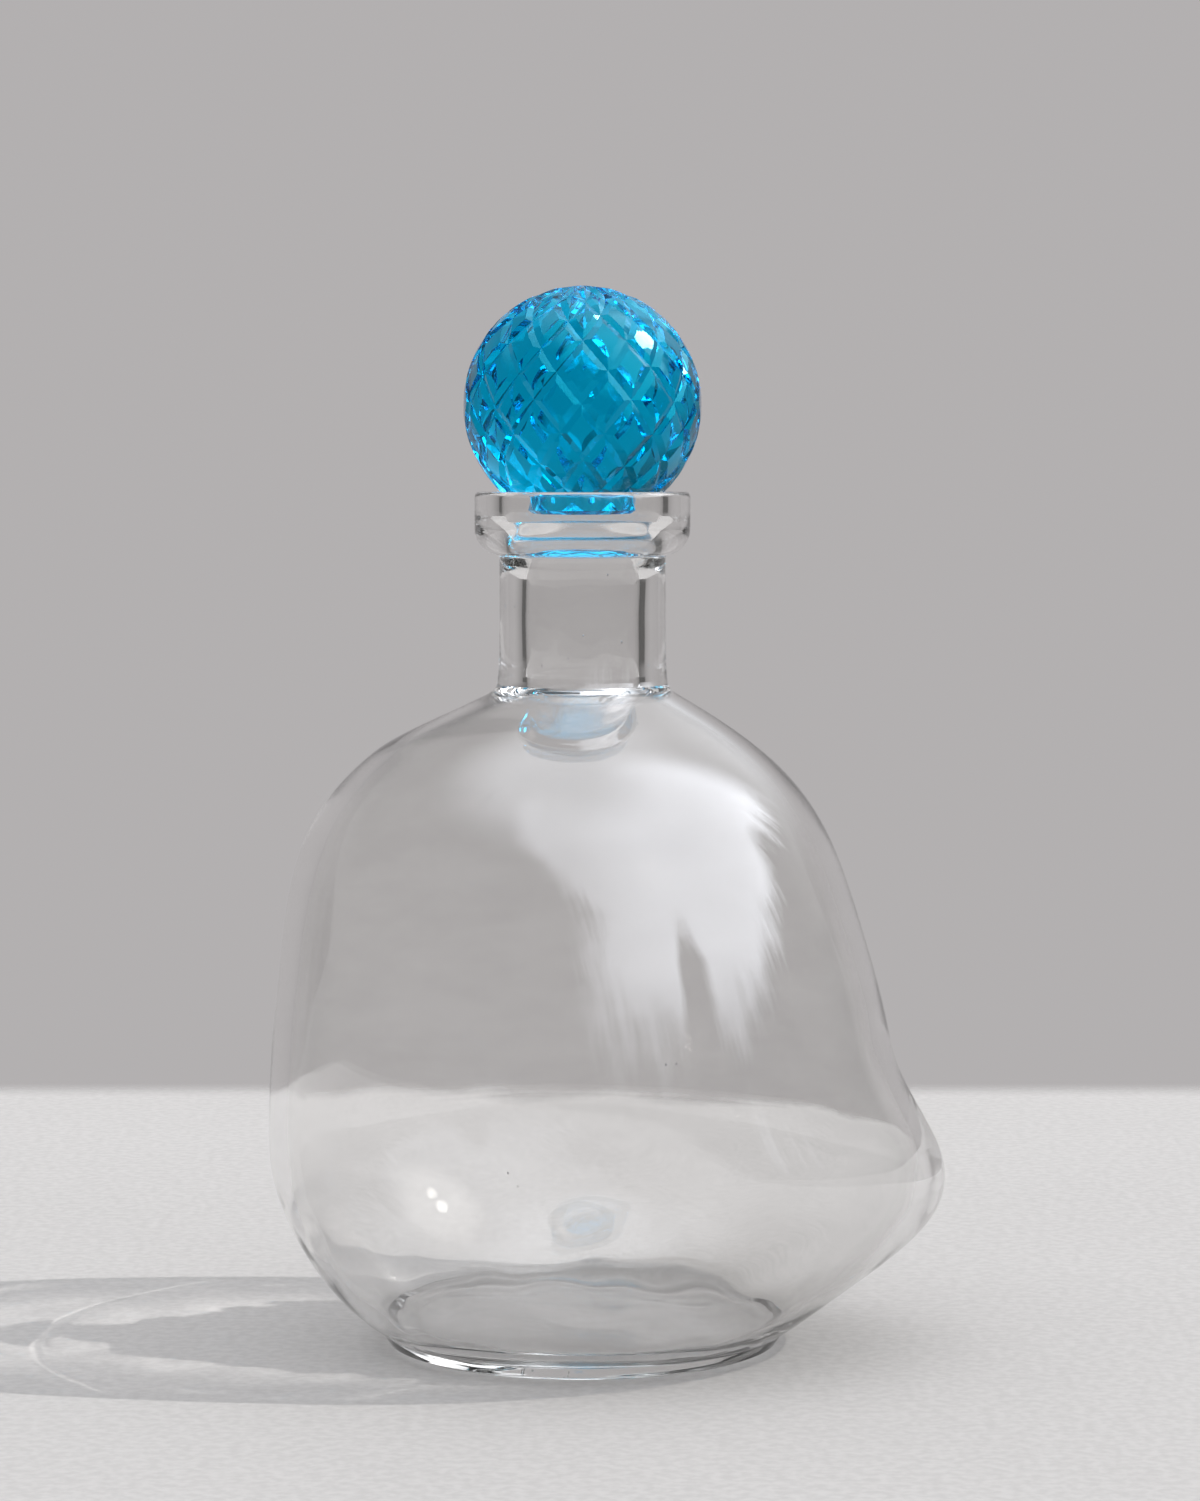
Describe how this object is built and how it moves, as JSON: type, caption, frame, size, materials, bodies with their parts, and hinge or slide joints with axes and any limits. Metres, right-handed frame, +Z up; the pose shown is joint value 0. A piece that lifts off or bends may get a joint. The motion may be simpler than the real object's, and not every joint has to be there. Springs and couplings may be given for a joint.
{
  "type": "stoppered decanter",
  "caption": "Free-blown clear glass decanter with an off-round belly, thick neck and cupped rim, closed by a loose ball stopper of blue cut glass that lifts out.",
  "frame": {"origin": "middle of the flat underside, on the neck's axis", "axes": "+Z up along the neck, +X towards the belly that is pushed out, -Y towards the viewer of the picture"},
  "size_m": [0.143, 0.133, 0.2231],
  "materials": {
    "clear_glass": "fire-polished clear glass with slight waviness",
    "blue_glass": "polished turquoise-blue glass with mitre cuts"
  },
  "bodies": {
    "vessel": {"blown_body": "clear_glass", "neck_tube": "clear_glass", "mouth_collar": "clear_glass"},
    "stopper": {"stopper_ball": "blue_glass"}
  },
  "joints": [
    {"name": "stopper_lift", "type": "slide", "parent": "vessel", "child": "stopper", "axis": [0, 0, 1], "range_m": [0, 0.06]}
  ]
}
